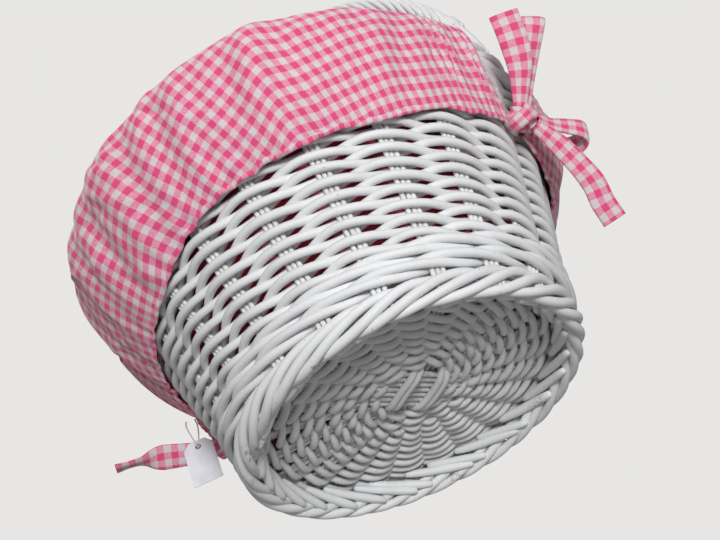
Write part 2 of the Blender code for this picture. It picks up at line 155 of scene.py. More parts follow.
class Strands:
    """Round rods and weavers gathered into one mesh, with UVs that run along them."""

    def __init__(self, seed):
        self.rng = np.random.default_rng(seed)
        self.verts, self.faces, self.uvs, self.tone, self.bare = [], [], [], [], []
        self.count = 0

    def add(self, path, radius, normal, closed=False, sides=8, bare=0.0):
        """One strand along path; normal is any direction that isn't along it.

        bare is how much of the strand's paint has worn off, from 0 to 1.
        """
        path = np.asarray(path, float)
        n = len(path)
        radius = np.broadcast_to(np.asarray(radius, float), n).copy()
        if closed:
            along = unit(np.roll(path, -1, axis=0) - np.roll(path, 1, axis=0))
        else:
            along = unit(np.gradient(path, axis=0))
        normal = np.broadcast_to(np.asarray(normal, float), path.shape)
        normal = unit(normal - along * np.sum(normal * along, axis=1, keepdims=True))
        side = np.cross(along, normal)
        if not closed:
            extra = radius[0] * 0.5
            path = np.vstack([path[0] - along[0] * extra, path, path[-1] + along[-1] * extra])
            radius = np.concatenate([[radius[0] * 0.6], radius, [radius[-1] * 0.6]])
            normal = np.vstack([normal[0], normal, normal[-1]])
            side = np.vstack([side[0], side, side[-1]])
            n += 2
        turn = 2 * np.pi * np.arange(sides) / sides
        circle = (normal[:, None, :] * np.cos(turn)[None, :, None]
                  + side[:, None, :] * np.sin(turn)[None, :, None])
        points = path[:, None, :] + circle * radius[:, None, None]
        steps = np.linalg.norm(np.diff(path, axis=0), axis=1)
        length = np.concatenate([[0.0], np.cumsum(steps)]) + self.rng.uniform(0, 40)
        rows = n if closed else n - 1
        lengths = np.append(length, length[-1] + steps.mean())
        around = 2 * np.pi * radius.mean() / sides
        first = self.count
        for i in range(rows):
            low, high = first + i * sides, first + ((i + 1) % n) * sides
            for k in range(sides):
                m = (k + 1) % sides
                self.faces.append((low + k, low + m, high + m, high + k))
                left, right = k * around, (k + 1) * around
                self.uvs += [(left, lengths[i]), (right, lengths[i]),
                             (right, lengths[i + 1]), (left, lengths[i + 1])]
        if not closed:
            for row, order in ((0, -1), (n - 1, 1)):
                corners = [first + row * sides + k for k in range(sides)][::order]
                self.faces.append(tuple(corners))
                self.uvs += [(0.0, lengths[row])] * sides
        self.verts.append(points.reshape(-1, 3))
        self.tone.append(np.full(n * sides, self.rng.uniform(-1, 1)))
        self.bare.append(np.full(n * sides, float(bare)))
        self.count += n * sides

    def build(self, name, material):
        return mesh_object(name, np.vstack(self.verts), self.faces, self.uvs,
                           {"tone": np.concatenate(self.tone),
                            "bare": np.concatenate(self.bare)}, material)


def on_basket(piece, slot, *nodes):
    """Fixes a piece to the basket's body, in place of the frame's nodes if any."""
    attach(piece, "basket")
    if nodes:
        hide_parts(*nodes)


# ---- materials ----
class Nodes:
    """Short calls for building a node tree."""

    def __init__(self, name):
        self.material = bpy.data.materials.new(name)
        self.material.use_nodes = True
        self.tree = self.material.node_tree
        self.shader = self.tree.nodes["Principled BSDF"]

    def node(self, kind, **settings):
        made = self.tree.nodes.new(kind)
        for key, value in settings.items():
            setattr(made, key, value)
        return made

    def link(self, source, target):
        if isinstance(source, (int, float, tuple)):
            target.default_value = source
        else:
            self.tree.links.new(source, target)

    def math(self, operation, a, b=0.0, clamp=False):
        made = self.node("ShaderNodeMath", operation=operation, use_clamp=clamp)
        self.link(a, made.inputs[0])
        self.link(b, made.inputs[1])
        return made.outputs[0]

    def mix(self, factor, a, b, blend="MIX"):
        made = self.node("ShaderNodeMix", data_type="RGBA", blend_type=blend)
        self.link(factor, made.inputs[0])
        self.link(a, made.inputs[6])
        self.link(b, made.inputs[7])
        return made.outputs[2]

    def noise(self, vector, scale, detail=2.0, rough=0.5):
        made = self.node("ShaderNodeTexNoise")
        self.link(vector, made.inputs["Vector"])
        made.inputs["Scale"].default_value = scale
        made.inputs["Detail"].default_value = detail
        made.inputs["Roughness"].default_value = rough
        return made.outputs[0]

    def stretch(self, vector, scale):
        made = self.node("ShaderNodeMapping")
        self.link(vector, made.inputs["Vector"])
        made.inputs["Scale"].default_value = scale
        return made.outputs[0]

    def step(self, value, low, high):
        made = self.node("ShaderNodeMapRange", interpolation_type="SMOOTHSTEP")
        self.link(value, made.inputs["Value"])
        made.inputs["From Min"].default_value = low
        made.inputs["From Max"].default_value = high
        return made.outputs[0]

    def bump(self, height, strength, distance):
        made = self.node("ShaderNodeBump")
        made.inputs["Strength"].default_value = strength
        made.inputs["Distance"].default_value = distance
        self.link(height, made.inputs["Height"])
        self.link(made.outputs[0], self.shader.inputs["Normal"])


WHITE_PAINT = (0.765, 0.775, 0.785, 1.0)
GREY_PAINT = (0.60, 0.60, 0.60, 1.0)
BARE_WOOD = (0.30, 0.19, 0.11, 1.0)


def willow_material(name, wear_height=0.0, grime=0.35):
    """Sprayed white paint over peeled willow: faint grain, dull grime and worn spots."""
    n = Nodes(name)
    uv = n.node("ShaderNodeTexCoord").outputs["UV"]
    place = n.node("ShaderNodeTexCoord").outputs["Object"]
    grain = n.noise(n.stretch(uv, (2600.0, 90.0, 1.0)), 1.0, 3.0, 0.6)
    patches = n.noise(place, 55.0, 3.0, 0.6)
    tone = n.node("ShaderNodeAttribute", attribute_name="tone").outputs["Fac"]
    shade = n.math("MULTIPLY", n.math("ADD", n.math("MULTIPLY", tone, 0.5), 0.5), 0.22)
    shade = n.math("ADD", shade, n.math("MULTIPLY", n.step(patches, 0.45, 0.80), grime))
    shade = n.math("ADD", shade, n.math("MULTIPLY", n.step(grain, 0.5, 0.9), 0.15), True)
    colour = n.mix(shade, WHITE_PAINT, GREY_PAINT)
    chips = n.noise(place, 420.0, 2.0, 0.7)
    chipped = n.step(chips, 0.70, 0.76)
    if wear_height:
        split = n.node("ShaderNodeSeparateXYZ")
        n.link(place, split.inputs[0])
        low = n.math("SUBTRACT", 1.0, n.step(split.outputs[2], 0.0, wear_height))
        spots = n.noise(place, 38.0, 2.0, 0.5)
        worn = n.math("MULTIPLY", n.step(spots, 0.60, 0.66), n.step(chips, 0.46, 0.56))
        chipped = n.math("MAXIMUM", chipped, n.math("MULTIPLY", worn, low))
    bare = n.node("ShaderNodeAttribute", attribute_name="bare").outputs["Fac"]
    bare_spots = n.math("MULTIPLY", bare, n.step(n.noise(place, 160.0, 2.0), 0.42, 0.55))
    chipped = n.math("MAXIMUM", n.math("MULTIPLY", chipped, 0.7), bare_spots)
    colour = n.mix(chipped, colour, BARE_WOOD)
    n.link(colour, n.shader.inputs["Base Color"])
    rough = n.math("ADD", n.math("MULTIPLY", patches, 0.25), 0.44)
    n.link(rough, n.shader.inputs["Roughness"])
    n.shader.inputs["Specular IOR Level"].default_value = 0.42
    height = n.math("ADD", n.math("MULTIPLY", grain, 0.7), n.math("MULTIPLY", chips, 0.3))
    n.bump(height, 0.35, 0.0004)
    return n.material


GINGHAM_WHITE = (0.66, 0.60, 0.61, 1.0)
GINGHAM_MIXED = (0.74, 0.265, 0.385, 1.0)
GINGHAM_PINK = (0.72, 0.075, 0.225, 1.0)
GINGHAM_DEEP = (0.50, 0.06, 0.16, 1.0)


def gingham_material(name):
    """Woven check: white and pink stripes cross each way, with the threads showing."""
    n = Nodes(name)
    uv = n.node("ShaderNodeTexCoord").outputs["UV"]
    split = n.node("ShaderNodeSeparateXYZ")
    n.link(uv, split.inputs[0])
    slub = n.noise(uv, 700.0, 1.0, 0.5)
    stripes, threads = [], []
    for axis, stretched in ((0, (2600.0, 420.0, 1.0)), (1, (420.0, 2600.0, 1.0))):
        ragged = n.math("MULTIPLY", n.math("SUBTRACT", slub, 0.5), 0.0007)
        along = n.math("DIVIDE", n.math("ADD", split.outputs[axis], ragged), CHECK)
        phase = n.math("ABSOLUTE", n.math("SUBTRACT", n.math("FRACT", along), 0.5))
        stripes.append(n.step(phase, 0.235, 0.265))
        threads.append(n.noise(n.stretch(uv, stretched), 1.0, 1.0, 0.5))
    both = n.math("MULTIPLY", stripes[0], stripes[1])
    either = n.math("MAXIMUM", stripes[0], stripes[1])
    colour = n.mix(either, GINGHAM_WHITE, GINGHAM_MIXED)
    colour = n.mix(both, colour, GINGHAM_PINK)
    weave = n.math("SUBTRACT", threads[0], threads[1])
    fleck = n.math("MULTIPLY", n.math("SUBTRACT", either, both), n.step(weave, 0.02, 0.22))
    colour = n.mix(n.math("MULTIPLY", fleck, 0.45), colour, GINGHAM_WHITE)
    deep = n.math("MULTIPLY", n.step(weave, -0.02, -0.25), 0.22)
    colour = n.mix(deep, colour, GINGHAM_DEEP, "MULTIPLY")
    n.link(colour, n.shader.inputs["Base Color"])
    n.shader.inputs["Roughness"].default_value = 0.88
    n.shader.inputs["Specular IOR Level"].default_value = 0.25
    n.shader.inputs["Sheen Weight"].default_value = 0.25
    n.shader.inputs["Sheen Roughness"].default_value = 0.5
    creases = n.noise(n.stretch(uv, (60.0, 35.0, 1.0)), 1.0, 3.0, 0.6)
    height = n.math("ADD", n.math("MULTIPLY", weave, 0.25), creases)
    n.bump(height, 0.30, 0.0012)
    return n.material


def shaded_lining_material(name):
    """The liner's back in a darker rose than the cloth, seen only through the weave: painted
    shade for the shadowed gap behind the strands.
    """
    n = Nodes(name)
    place = n.node("ShaderNodeTexCoord").outputs["Object"]
    threads = n.noise(n.stretch(place, (900.0, 900.0, 2600.0)), 1.0, 2.0, 0.6)
    patches = n.noise(place, 40.0, 2.0, 0.5)
    # painted shade: these dark reds stand for the shade in the narrow gap between the weave and
    # the liner
    colour = n.mix(n.step(patches, 0.35, 0.7), (0.66, 0.050, 0.105, 1.0),
                   (0.50, 0.034, 0.075, 1.0))
    colour = n.mix(n.math("MULTIPLY", threads, 0.3), colour, (0.72, 0.11, 0.18, 1.0))
    n.link(colour, n.shader.inputs["Base Color"])
    n.shader.inputs["Roughness"].default_value = 0.9
    n.bump(threads, 0.4, 0.0004)
    return n.material


def paper_material(name):
    n = Nodes(name)
    place = n.node("ShaderNodeTexCoord").outputs["Object"]
    fibre = n.noise(place, 900.0, 3.0, 0.6)
    smudge = n.noise(place, 90.0, 2.0, 0.5)
    colour = n.mix(n.step(smudge, 0.35, 0.8), (0.80, 0.80, 0.86, 1.0), (0.70, 0.70, 0.77, 1.0))
    n.link(colour, n.shader.inputs["Base Color"])
    n.shader.inputs["Roughness"].default_value = 0.62
    n.bump(fibre, 0.2, 0.0002)
    return n.material


def thread_material(name):
    n = Nodes(name)
    place = n.node("ShaderNodeTexCoord").outputs["Object"]
    twist = n.node("ShaderNodeTexWave", wave_type="BANDS", bands_direction="DIAGONAL")
    n.link(place, twist.inputs["Vector"])
    twist.inputs["Scale"].default_value = 900.0
    colour = n.mix(twist.outputs[1], (0.60, 0.60, 0.60, 1.0), (0.84, 0.84, 0.84, 1.0))
    n.link(colour, n.shader.inputs["Base Color"])
    n.shader.inputs["Roughness"].default_value = 0.8
    n.bump(twist.outputs[1], 0.5, 0.0002)
    return n.material


# ---- price tag on its thread ----
TAG_PIVOT = Vector((-0.1610, -0.0185, 0.1120))
TAG_LEAN = math.radians(30)
TAG_DROP = 0.024                # from the pivot down to the card's hole
THREAD_WIDTH = 0.0010
THREAD_ROUTE = [                # from the hole: across the card, up it and out of its face
    (0.0030, 0.0232, -0.0008), (0.0036, 0.0200, -0.0014), (0.0034, 0.0160, -0.0018),
    (0.0026, 0.0115, -0.0019), (0.0016, 0.0070, -0.0019), (0.0008, 0.0030, -0.0019),
    (0.0002, 0.0002, -0.0014), (-0.0001, -0.0008, 0.0000), (-0.0003, 0.0000, 0.0014),
    (-0.0009, 0.0030, 0.0019), (-0.0018, 0.0070, 0.0019), (-0.0028, 0.0115, 0.0018),
    (-0.0036, 0.0160, 0.0016), (-0.0038, 0.0200, 0.0012), (-0.0032, 0.0232, 0.0006),
]


def tag_frame():
    across = Vector((math.cos(TAG_LEAN), math.sin(TAG_LEAN), 0.0))
    up = Vector((0.0, 0.0, 1.0))
    return TAG_PIVOT - up * TAG_DROP, across, up, across.cross(up)


def make_thread(material):
    """The thread runs from near the tie down through the tag's hole and back up."""
    hole, across, up, face = tag_frame()
    route = [hole + across * u + up * v + face * w for u, v, w in THREAD_ROUTE]
    points = through(route, 60)
    curve = bpy.data.curves.new("tag_thread_line", "CURVE")
    curve.dimensions = "3D"
    curve.bevel_depth = THREAD_WIDTH / 2
    curve.bevel_resolution = 3
    curve.use_fill_caps = True
    spline = curve.splines.new("POLY")
    spline.points.add(len(points) - 1)
    for target, point in zip(spline.points, points):
        target.co = (*point, 1.0)
    curve.materials.append(material)
    thread = bpy.data.objects.new("tag_thread_line", curve)
    bpy.context.scene.collection.objects.link(thread)
    length = float(np.sum(np.linalg.norm(np.diff(points, axis=0), axis=1)))
    return thread, points, length


# ---- weave ----
def stake_angles(stakes):
    return STAKE_START + 2 * np.pi * np.asarray(stakes) / STAKES


def make_stakes(material):
    strands = Strands(11)
    levels = np.linspace(0.006, 0.180, 18)
    for index in range(STAKES):
        angle = stake_angles(index)
        for k in (-1, 0, 1):
            drift = ripple(strands.rng, levels / 0.4, 0.0006)
            a, b = wall_axes(levels)
            shift = (k * ROD_SPACING + drift) / (0.5 * (a + b))
            depth = strands.rng.uniform(-0.0003, 0.0003)
            angles = angle + shift
            strands.add(wall_points(angles, levels, depth), ROD_RADIUS,
                        wall_outward(angles, levels), sides=7, bare=0.12)
    return strands.build("stake_rods", material)


def make_side(material):
    """Pairing: two weavers twist round every stake, with windows at the stakes."""
    strands = Strands(23)
    steps = 10
    t = np.arange(STAKES * steps) / steps
    turns = t / STAKES
    angle = stake_angles(t)
    for row in range(SIDE_ROWS):
        height = LOW_Z + row * ROW_PITCH + ripple(strands.rng, turns, 0.0009)
        for shift in (0, 1):
            phase = np.pi * (t + shift)
            swing = np.cos(phase)
            swing = np.sign(swing) * np.abs(swing) ** 0.85
            offset = WEAVE_REACH * swing + ripple(strands.rng, turns, 0.0006, (7, 11, 17))
            rise = -WEAVE_RISE * np.sin(phase) + ripple(strands.rng, turns, 0.0006, (5, 9, 14))
            radius = WEAVER * (1 + ripple(strands.rng, turns, 0.09, (1, 2, 4, 7)))
            z = height + rise
            strands.add(wall_points(angle, z, offset), radius, wall_outward(angle, z),
                        closed=True)
    return strands.build("side_pairing", material)


def wale_ring(strands, middle, reach, spread):
    """Three-rod wale at height middle.

    One closed weaver goes round three times, each time one stake further on, so
    that each rod passes outside two stakes and inside one. It swings by reach
    out and in, and by spread up and down.
    """
    steps = 8
    t = np.arange(3 * STAKES * steps) / steps
    turns = t / (3 * STAKES)
    angle = stake_angles(t + 0.5)
    phase = np.mod(t, 3.0)
    knots = [0.0, 0.5, 1.0, 1.5, 2.0, 2.5, 3.0]
    swing = through(np.column_stack([knots, [-0.25, 0.95, 1.12, 0.95, 0.10, -0.95, -0.25]]), 301)
    rise = through(np.column_stack([knots, [0.92, 0.60, 0.0, -0.60, -0.92, 0.0, 0.92]]), 301)
    offset = reach * np.interp(phase, swing[:, 0], swing[:, 1])
    offset = offset + ripple(strands.rng, turns, 0.0007, (7, 13, 22))
    z = middle + spread * np.interp(phase, rise[:, 0], rise[:, 1])
    z = z + ripple(strands.rng, turns, 0.0008, (6, 11, 19, 31))
    radius = WALE_WEAVER * (1 + ripple(strands.rng, turns, 0.10, (3, 5, 8)))
    strands.add(wall_points(angle, z, offset), radius, wall_outward(angle, z), closed=True)


def make_wales(material, rim_material):
    foot = Strands(31)
    for row in range(WALE_ROWS):
        wale_ring(foot, WALE_FIRST_Z + row * WALE_PITCH, reach=0.0042, spread=0.0036)
    rim = Strands(37)
    wale_ring(rim, RIM_WALE_Z, reach=0.0040, spread=0.0030)
    return foot.build("foot_wale", material), rim.build("rim_wale", rim_material)


def rope_ring(strands, middle, depth, rise, weaver, rods, twists, steps=10):
    """A rolled border: rods wound round each other, closed round the wall.

    The rope is centred at height middle, and its rods swing by depth out and in
    and by rise up and down.
    """
    count = STAKES * steps
    turns = np.arange(count) / count
    angle = 2 * np.pi * turns
    for rod in range(rods):
        lean = 2 * np.pi * (twists * turns + rod / rods)
        lean = lean + ripple(strands.rng, turns, 0.35, (3, 5, 9))
        wobble = ripple(strands.rng, turns, 0.0007, (4, 7, 12))
        offset = depth * np.cos(lean) + wobble
        z = middle + rise * np.sin(lean)
        radius = weaver * (1 + ripple(strands.rng, turns, 0.10, (2, 5, 9)))
        strands.add(wall_points(angle, z, offset), radius, wall_outward(angle, z),
                    closed=True, sides=10)


FOOT_ROPE_Z = 0.0098
INNER_ENDS = 30                 # rod ends laid along the inside of the foot
INNER_TURN = 0.40               # radians that each one runs round the foot


def make_borders(material, rim_material):
    foot = Strands(41)
    rope_ring(foot, FOOT_ROPE_Z, depth=0.0040, rise=0.0064, weaver=0.0030, rods=5, twists=6)
    t = np.linspace(0, 1, 13)
    for index in range(INNER_ENDS):
        start = 2 * np.pi * (index + foot.rng.uniform(-0.25, 0.25)) / INNER_ENDS
        turn = start - (INNER_TURN + foot.rng.uniform(-0.06, 0.06)) * t
        offset = -0.0104 + 0.0044 * t ** 2 + foot.rng.uniform(-0.0005, 0.0005)
        z = 0.0170 - 0.0124 * t + foot.rng.uniform(-0.0006, 0.0006)
        radius = foot.rng.uniform(0.0029, 0.0035) * (1 - 0.25 * (2 * t - 1) ** 4)
        foot.add(wall_points(turn, z, offset), radius, (0, 0, 1), sides=8)
    rim = Strands(43)
    rope_ring(rim, RIM_Z, depth=0.0042, rise=0.0042, weaver=0.0029, rods=4, twists=10, steps=6)
    return foot.build("foot_rope", material), rim.build("rim_rope", rim_material)


# ---- base ----
BASE_Z = 0.0226
SLATH_TURN = math.radians(70)
SPOKES = 24
BASE_ROD = 0.00145              # radius of one of a spoke's three rods
BASE_WEAVER = 0.00248
STICK, STICK_SPACING = 0.0020, 0.0048               # the cross of thick sticks
BINDING = 0.00235               # the rods that bind the cross
BASE_PITCH = 0.0084
BASE_INNER, BASE_OUTER = 0.0268, 0.1024
BASE_CENTRE = np.array([0.0045, 0.0042, 0.0])       # the cross is a little off centre


def base_points(angle, radius, z):
    """Points on the base's slightly oval plan; radius is the mean one."""
    a, b = wall_axes(BASE_Z)
    mean = (a + b) / 2
    plan = np.stack([radius * a / mean * np.cos(angle), radius * b / mean * np.sin(angle),
                     z + np.zeros_like(angle)], axis=-1)
    share = np.clip(1 - radius / BASE_OUTER, 0, 1) + np.zeros_like(angle)
    return plan + BASE_CENTRE * share[..., None]


def make_base(material):
    """Rounds of pairing on the spokes, and the bound cross in the middle."""
    strands = Strands(53)
    rng = strands.rng
    rounds = int(round((BASE_OUTER - BASE_INNER) / BASE_PITCH)) + 1
    steps = 8
    for index in range(rounds):
        spokes = SPOKES // 2 if index < 2 else SPOKES   # not yet parted near the middle
        t = np.arange(spokes * steps) / steps
        turns = t / spokes
        angle = SLATH_TURN + 2 * np.pi * turns + (0.5 if index < 2 else 0.0)
        middle = BASE_INNER + index * BASE_PITCH + ripple(rng, turns, 0.0012)
        for shift in (0, 1):
            phase = np.pi * (t + shift)
            swing = np.cos(phase)
            swing = np.sign(swing) * np.abs(swing) ** 0.8
            z = BASE_Z - 0.0033 * swing + ripple(rng, turns, 0.0008, (5, 9, 15))
            radius = middle - 0.0019 * np.sin(phase) + ripple(rng, turns, 0.0007, (7, 12))
            thick = BASE_WEAVER * (1 + ripple(rng, turns, 0.14, (2, 3, 7)))
            strands.add(base_points(angle, radius, z), thick, (0, 0, 1), closed=True)
    for index in range(SPOKES):
        angle = SLATH_TURN + 2 * np.pi * index / SPOKES
        out = np.array([math.cos(angle), math.sin(angle), 0.0])
        side = np.array([-out[1], out[0], 0.0])
        reach = np.linspace(0.024, BASE_OUTER + 0.001, 8)[:, None]
        centre = BASE_CENTRE * (1 - reach / BASE_OUTER)
        for k in (-1, 0, 1):
            start = centre + out * reach + side * k * (0.0020 + 0.0009 * reach / BASE_OUTER)
            strands.add(start + [0, 0, BASE_Z + rng.uniform(-0.0004, 0.0004)], BASE_ROD,
                        (0, 0, 1), sides=6, bare=0.35)
    slath = np.array([math.cos(SLATH_TURN), math.sin(SLATH_TURN), 0.0])
    cross = np.array([-slath[1], slath[0], 0.0])
    t = np.linspace(-1, 1, 9)[:, None]
    low = BASE_CENTRE + [0, 0, BASE_Z - STICK]
    high = BASE_CENTRE + [0, 0, BASE_Z + STICK]
    for k in range(-3, 4):
        half = 0.032 * math.sqrt(1 - (k / 6.0) ** 2)
        place = k * STICK_SPACING
        strands.add(slath * t * half + cross * place + low, STICK, (0, 0, 1), bare=0.3)
        strands.add(cross * t * half + slath * place + high, STICK, (0, 0, 1), bare=0.3)
    t = np.linspace(-1, 1, 15)
    for side in (-1, 1):
        for k in range(2):
            out = side * (0.0098 + 0.0046 * k - 0.0022 * t ** 2)
            dip = BASE_Z - 0.0055 + 0.0062 * t ** 6
            path = slath * out[:, None] + cross * (t * 0.0205)[:, None] + BASE_CENTRE
            strands.add(path + np.stack([0 * t, 0 * t, dip], axis=1), BINDING, (0, 0, 1))
    return strands.build("base_weave", material)


# ---- handle ----
LAP_PITCH, LAP_RODS = 0.080, 7
LAP_REACH, LAP_ROD = 0.0045, 0.00235                # from the hoop's line, and a rod's radius
ROOT_RODS = 7
ROOT_REACH, ROOT_ROD = 0.0046, 0.00215
BAND_WRAPS = 3.3
BAND_REACH, BAND_ROD = 0.0062, 0.0019


def arch(turn, radial, across):
    """Points round the hoop: radial is outward in its plane, across along Y."""
    turn = np.asarray(turn, float)
    x, z = RIM_A * np.cos(turn), RIM_Z + HANDLE_RISE * np.sin(turn)
    out = unit(np.stack([np.cos(turn) / RIM_A, 0 * turn, np.sin(turn) / HANDLE_RISE], axis=-1))
    line = np.stack([x, 0 * turn, z], axis=-1)
    return line + out * np.asarray(radial)[..., None] + np.stack(
        [0 * turn, across + 0 * turn, 0 * turn], axis=-1)


def make_lapping(material):
    """Strands wound side by side round the hoop's core, in long turns."""
    strands = Strands(61)
    turn = np.linspace(BAND_TURN - 0.01, math.pi - BAND_TURN + 0.01, 520)
    line = arch(turn, 0 * turn, 0.0)
    steps = np.linalg.norm(np.diff(line, axis=0), axis=1)
    length = np.concatenate([[0.0], np.cumsum(steps)])
    for rod in range(LAP_RODS):
        lean = 2 * np.pi * (length / LAP_PITCH + rod / LAP_RODS)
        lean = lean + ripple(strands.rng, length / length[-1], 0.25, (5, 9, 17))
        radius = LAP_ROD * (1 + ripple(strands.rng, length / length[-1], 0.10, (3, 7)))
        path = arch(turn, LAP_REACH * np.cos(lean), LAP_REACH * np.sin(lean))
        strands.add(path, radius, path - line, sides=10)
    return strands.build("handle_lapping_strands", material)


def make_handle_ends(material):
    """At each side: the root rods, and the band wound over their tops."""
    strands = Strands(67)
    for side in (0, 1):
        turn = np.linspace(0.045, ROOT_ROD_TURN + 0.02, 14)
        turns = turn if side == 0 else math.pi - turn
        for k in range(ROOT_RODS):
            lean = 2 * math.pi * (k + 0.5) / ROOT_RODS
            path = arch(turns, ROOT_REACH * math.cos(lean) + 0 * turn,
                        ROOT_REACH * math.sin(lean))
            strands.add(path, ROOT_ROD, (0, 1, 0), sides=8)
        count = 110
        band = np.linspace(ROOT_ROD_TURN - 0.004, BAND_TURN + 0.012, count)
        bands = band if side == 0 else math.pi - band
        lean = np.linspace(0, 2 * math.pi * BAND_WRAPS, count)
        path = arch(bands, BAND_REACH * np.cos(lean), BAND_REACH * np.sin(lean))
        strands.add(path, BAND_ROD, path - arch(bands, 0 * bands, 0.0), sides=8)
    return strands.build("handle_roots_and_bands", material)


# ---- cloth ----
def grid_object(name, points, uv, material, thickness=CLOTH):
    """A sheet from a rows x columns grid of points, given its thickness."""
    rows, columns = points.shape[:2]
    index = np.arange(rows * columns).reshape(rows, columns)
    quads = np.stack([index[:-1, :-1], index[:-1, 1:], index[1:, 1:], index[1:, :-1]],
                     axis=-1).reshape(-1, 4)
    flat = uv.reshape(-1, 2)
    obj = mesh_object(name, points.reshape(-1, 3), quads.tolist(), flat[quads.ravel()],
                      material=material)
    solid = obj.modifiers.new("thickness", "SOLIDIFY")
    solid.thickness = thickness
    solid.offset = 0.0
    return obj


SKIRT_COLUMNS, SKIRT_ROWS = 560, 80
SKIRT_RADIUS = 0.172            # mean radius of the turned-over cloth
# from inside the rim over it and down: distance outside the stakes' line, and height
SKIRT_PROFILE = [(-0.0080, 0.1858), (-0.0056, 0.1900), (0.0004, 0.1916), (0.0083, 0.1904),
                 (0.0162, 0.1862), (0.0222, 0.1774), (0.0242, 0.1650), (0.0226, 0.1490),
                 (0.0156, 0.1335), (0.0096, 0.1268)]
# the same rows where the cloth is drawn tight against the wall
TIGHT_OFFSETS = [-0.0080, -0.0056, 0.0004, 0.0056, 0.0078, 0.0094, 0.0098, 0.0098, 0.0096, 0.0092]
BULGE_Z = 0.1650                # the skirt is widest here, and hangs freely below
HEMS = {                        # the hem's height at angles round the basket, in degrees
    "skirt_front": ((180, 200, 220, 250, 268, 300, 318, 331, 349, 360),
                    (0.096, 0.098, 0.100, 0.102, 0.111, 0.111, 0.112, 0.118, 0.122, 0.124)),
    "skirt_back": ((0, 20, 40, 90, 140, 180), (0.122, 0.113, 0.108, 0.108, 0.104, 0.096)),
}
# degrees from each end of a skirt over which it fills out from tight to full
TIGHT_ENDS = {"skirt_front": (9, 60), "skirt_back": (30, 12)}
END_SLANT = math.radians(11)    # the skirt's ends draw back from the handle at the top
GRAIN_SKEW = ((0, 0.15, 0.35, 0.5, 0.7, 0.9, 1),  # how the checks lean against the hem
              (0, -0.15, -0.15, -0.36, -0.36, -0.20, 0))
GATHER_ACROSS, GATHER_DOWN = 1.11, 1.06           # flat cloth to puckered cloth


def make_skirt(node, start, end, material, seed):
    """One half of the liner's turned-over part, gathered along its hem."""
    rng = np.random.default_rng(seed)
    profile = through(SKIRT_PROFILE, SKIRT_ROWS)
    tight_line = np.column_stack([TIGHT_OFFSETS, np.zeros(len(TIGHT_OFFSETS))])
    tight = through(tight_line, SKIRT_ROWS)[:, 0]
    down = np.concatenate([[0.0], np.cumsum(np.linalg.norm(np.diff(profile, axis=0), axis=1))])
    v = (down / down[-1])[:, None]
    u = np.linspace(0, 1, SKIRT_COLUMNS)[None, :]
    slant = END_SLANT * (1 - v) * ((1 - u) ** 7 - u ** 7)
    angle = start + (end - start) * u + slant
    degrees = np.degrees(angle[-1])
    girth = abs(end - start) * SKIRT_RADIUS
    hang = np.clip((v - 0.25) / 0.75, 0, 1)
    first, last = TIGHT_ENDS[node]
    from_first, from_last = degrees - degrees[0], degrees[-1] - degrees
    full = np.clip(from_first / first, 0, 1) * np.clip((from_last - 4) / last, 0, 1)
    full = (full * full * (3 - 2 * full))[None, :]
    offset = tight[:, None] * (1 - full) + profile[:, 0][:, None] * full
    puff = np.sin(np.pi * np.clip((v - 0.15) / 0.85, 0, 1)) * full
    gathers = ripple(rng, u, 0.0014, (19, 26, 33, 41)) * hang ** 2 * (0.3 + 0.7 * full)
    folds = ripple(rng, u + 0.07 * v, 0.0042, (9, 13, 19)) * np.sin(np.pi * hang) ** 0.7
    ends = np.exp(-((u / 0.07) ** 2)) + np.exp(-(((1 - u) / 0.09) ** 2))
    fan = np.abs(ripple(rng, u + 0.02 * v, 0.0080, (23, 31, 37))) * ends
    fan = fan * np.sin(np.pi * np.clip(hang, 0, 1)) ** 0.6
    push = ripple(rng, u, 0.0045, (3, 5, 8)) * puff + gathers + folds
    across, drop = u * girth, v * down[-1]
    for _ in range(60):                                 # short slanting creases
        place, height = rng.uniform(0.02, 0.98) * girth, rng.uniform(0.35, 0.9) * down[-1]
        lean = math.radians(rng.choice([-1, 1]) * rng.uniform(8, 60))
        length, width = rng.uniform(0.010, 0.028), rng.uniform(0.0020, 0.0042)
        along = (across - place) * math.cos(lean) + (drop - height) * math.sin(lean)
        aside = (drop - height) * math.cos(lean) - (across - place) * math.sin(lean)
        aside = aside + 6.0 * along ** 2
        ridge = np.exp(-((along / length) ** 2) - (aside / width) ** 2)
        push = push + rng.choice([-1, 1]) * rng.uniform(0.0006, 0.0018) * ridge
    for _ in range(8):                                  # tucks that end at the hem
        place, width = rng.uniform(0.04, 0.96), rng.uniform(0.005, 0.009)
        height, lean = rng.uniform(0.20, 0.45), rng.uniform(-0.04, 0.04)
        near = np.exp(-(((u - place - lean * (1 - v)) / width) ** 2))
        push = push - near * 0.0018 * np.clip((v - 1 + height) / height, 0, 1) ** 1.5
    offset = np.maximum(offset + push * (0.35 + 0.65 * full), tight[:, None] - 0.0015) + fan
    hem = np.interp(degrees, *HEMS[node])[None, :] + ripple(rng, u, 0.0012, (7, 12, 19))
    scale = (BULGE_Z - hem) / (BULGE_Z - profile[-1, 1])
    z = profile[:, 1][:, None] - 0.0030 * (1 - full)
    z = np.where(z < BULGE_Z, BULGE_Z - (BULGE_Z - z) * scale, z)
    points = wall_points(angle, z, offset)
    lengths = np.linalg.norm(np.diff(points, axis=0), axis=2)
    hung = np.vstack([np.zeros((1, SKIRT_COLUMNS)), np.cumsum(lengths, axis=0)])
    skew = np.interp(u, *GRAIN_SKEW)
    drift = np.cumsum(skew, axis=1) * girth / SKIRT_COLUMNS
    uv = np.stack([GATHER_ACROSS * u * girth + skew * hung, GATHER_DOWN * hung - drift], axis=-1)
    flat = (GATHER_ACROSS * girth, GATHER_DOWN * float(hung[-1].mean()))
    return grid_object(node + "_cloth", points, uv, material), flat, uv[-1]


HEM_WIDTH, HEM_THICKNESS = 0.0019, 0.0010           # half of each
HEM_INSET = 0.0016              # how far the hem's middle lies above the cloth's edge


